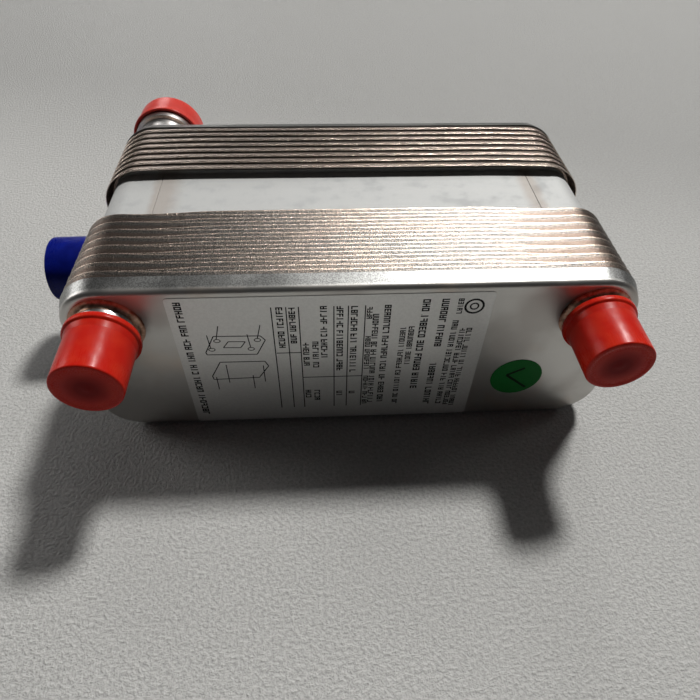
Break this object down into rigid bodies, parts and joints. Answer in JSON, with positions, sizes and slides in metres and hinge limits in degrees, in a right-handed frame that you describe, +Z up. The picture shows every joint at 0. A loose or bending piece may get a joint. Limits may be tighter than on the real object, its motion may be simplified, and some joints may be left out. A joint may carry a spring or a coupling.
{
  "type": "plate heat exchanger",
  "caption": "Brazed plate heat exchanger for an air dryer: nested plate packs on both sides of a separator chamber, with capped ports.",
  "frame": {"origin": "centre of the bounding box in plan, on the surface that the plates stand on", "axes": "+X along the plates from the drain to the far end, +Y from the front cover to the rear cover, +Z up"},
  "size_m": [0.2296, 0.1726, 0.076],
  "materials": {
    "cover_steel": "pressed stainless sheet, satin to half mirror, faint copper tint from brazing",
    "plate_steel": "stainless sheet edges wetted with copper braze, grainy and glittering",
    "rear_plate_steel": "stainless sheet edges with thin copper braze film, brown in the folds",
    "chamber_steel": "mill finish stainless sheet, matt light grey",
    "port_steel": "turned stainless tube",
    "stud_steel": "rolled stainless stud",
    "wire_mesh": "knitted stainless wire",
    "label_film": "satin silver-white printed film",
    "sticker_film": "green printed film",
    "red_plastic": "moulded soft polyethylene, glossy, slightly translucent",
    "blue_plastic": "moulded soft polyethylene, glossy"
  },
  "bodies": {
    "root": {"front_cover_plate": "cover_steel", "front_plate_01": "plate_steel", "front_plate_02": "plate_steel", "front_plate_03": "plate_steel", "front_plate_04": "plate_steel", "front_plate_05": "plate_steel", "front_plate_06": "plate_steel", "front_plate_07": "plate_steel", "front_plate_08": "plate_steel", "front_plate_09": "plate_steel", "front_plate_10": "plate_steel", "front_plate_11": "plate_steel", "front_plate_12": "plate_steel", "front_plate_13": "plate_steel", "front_plate_14": "plate_steel", "front_plate_15": "plate_steel", "front_plate_16": "plate_steel", "front_inner_end_plate": "chamber_steel", "chamber_top_plate": "chamber_steel", "chamber_bottom_plate": "chamber_steel", "chamber_left_end": "chamber_steel", "chamber_right_end": "chamber_steel", "air_transfer_tube": "port_steel", "demister_pad": "wire_mesh", "demister_bracket": "chamber_steel", "rear_inner_end_plate": "chamber_steel", "rear_plate_01": "rear_plate_steel", "rear_plate_02": "rear_plate_steel", "rear_plate_03": "rear_plate_steel", "rear_plate_04": "rear_plate_steel", "rear_plate_05": "rear_plate_steel", "rear_plate_06": "rear_plate_steel", "rear_plate_07": "rear_plate_steel", "rear_plate_08": "rear_plate_steel", "rear_plate_09": "rear_plate_steel", "rear_plate_10": "rear_plate_steel", "rear_plate_11": "rear_plate_steel", "rear_plate_12": "rear_plate_steel", "rear_plate_13": "rear_plate_steel", "rear_plate_14": "rear_plate_steel", "rear_plate_15": "rear_plate_steel", "rear_plate_16": "rear_plate_steel", "rear_cover_plate": "cover_steel", "refrigerant_port_left": "port_steel", "refrigerant_port_right": "port_steel", "air_port_upper": "port_steel", "air_port_lower": "port_steel", "drain_port": "port_steel", "mounting_stud_1": "stud_steel", "mounting_stud_2": "stud_steel", "mounting_stud_3": "stud_steel", "name_label": "label_film", "inspection_sticker": "sticker_film"},
    "red_cap_front_left_body": {"red_cap_front_left": "red_plastic"},
    "red_cap_front_right_body": {"red_cap_front_right": "red_plastic"},
    "red_cap_rear_upper_body": {"red_cap_rear_upper": "red_plastic"},
    "red_cap_rear_lower_body": {"red_cap_rear_lower": "red_plastic"},
    "blue_cap_drain_body": {"blue_cap_drain": "blue_plastic"}
  },
  "joints": [
    {"name": "red_cap_front_left_pull", "type": "slide", "parent": "root", "child": "red_cap_front_left_body", "axis": [0, -1, 0], "range_m": [0, 0.035]},
    {"name": "red_cap_front_right_pull", "type": "slide", "parent": "root", "child": "red_cap_front_right_body", "axis": [0, -1, 0], "range_m": [0, 0.035]},
    {"name": "red_cap_rear_upper_pull", "type": "slide", "parent": "root", "child": "red_cap_rear_upper_body", "axis": [0, 1, 0], "range_m": [0, 0.035]},
    {"name": "red_cap_rear_lower_pull", "type": "slide", "parent": "root", "child": "red_cap_rear_lower_body", "axis": [0, 1, 0], "range_m": [0, 0.035]},
    {"name": "blue_cap_drain_pull", "type": "slide", "parent": "root", "child": "blue_cap_drain_body", "axis": [-1, 0, 0], "range_m": [0, 0.035]}
  ]
}
